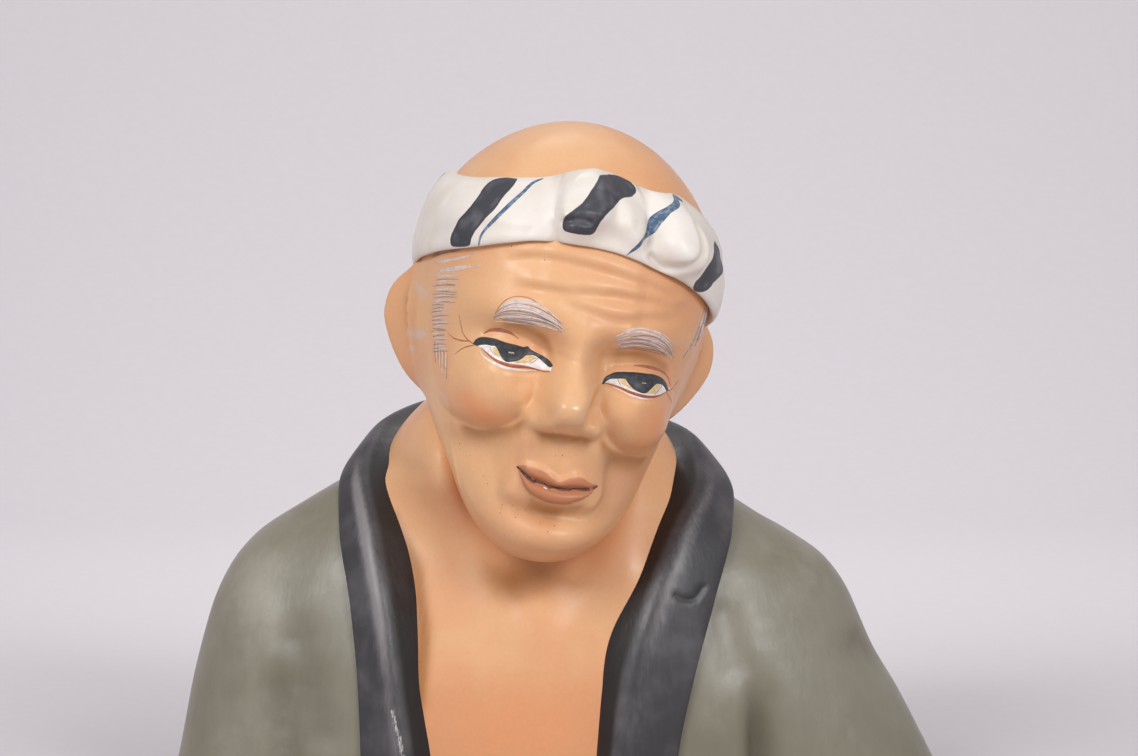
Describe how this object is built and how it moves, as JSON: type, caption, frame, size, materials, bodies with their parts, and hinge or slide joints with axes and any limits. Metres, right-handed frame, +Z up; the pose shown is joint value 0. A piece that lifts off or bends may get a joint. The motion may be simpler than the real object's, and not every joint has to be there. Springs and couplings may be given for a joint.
{
  "type": "hakata doll bust",
  "caption": "Painted clay doll bust of an old man with a knotted striped towel round his bald head and an open olive jacket with a dark collar.",
  "frame": {"origin": "on the flat underside that the bust stands on, near its middle, straight below the throat", "axes": "+Z up along the bust's height, -Y the way the chest faces, +X to the doll's own left, which is the right of a front view"},
  "size_m": [0.0897, 0.0514, 0.0769],
  "materials": {
    "painted_clay": "satin paint over fired clay"
  },
  "bodies": {
    "root": {"doll_bust": "painted_clay"}
  },
  "joints": []
}
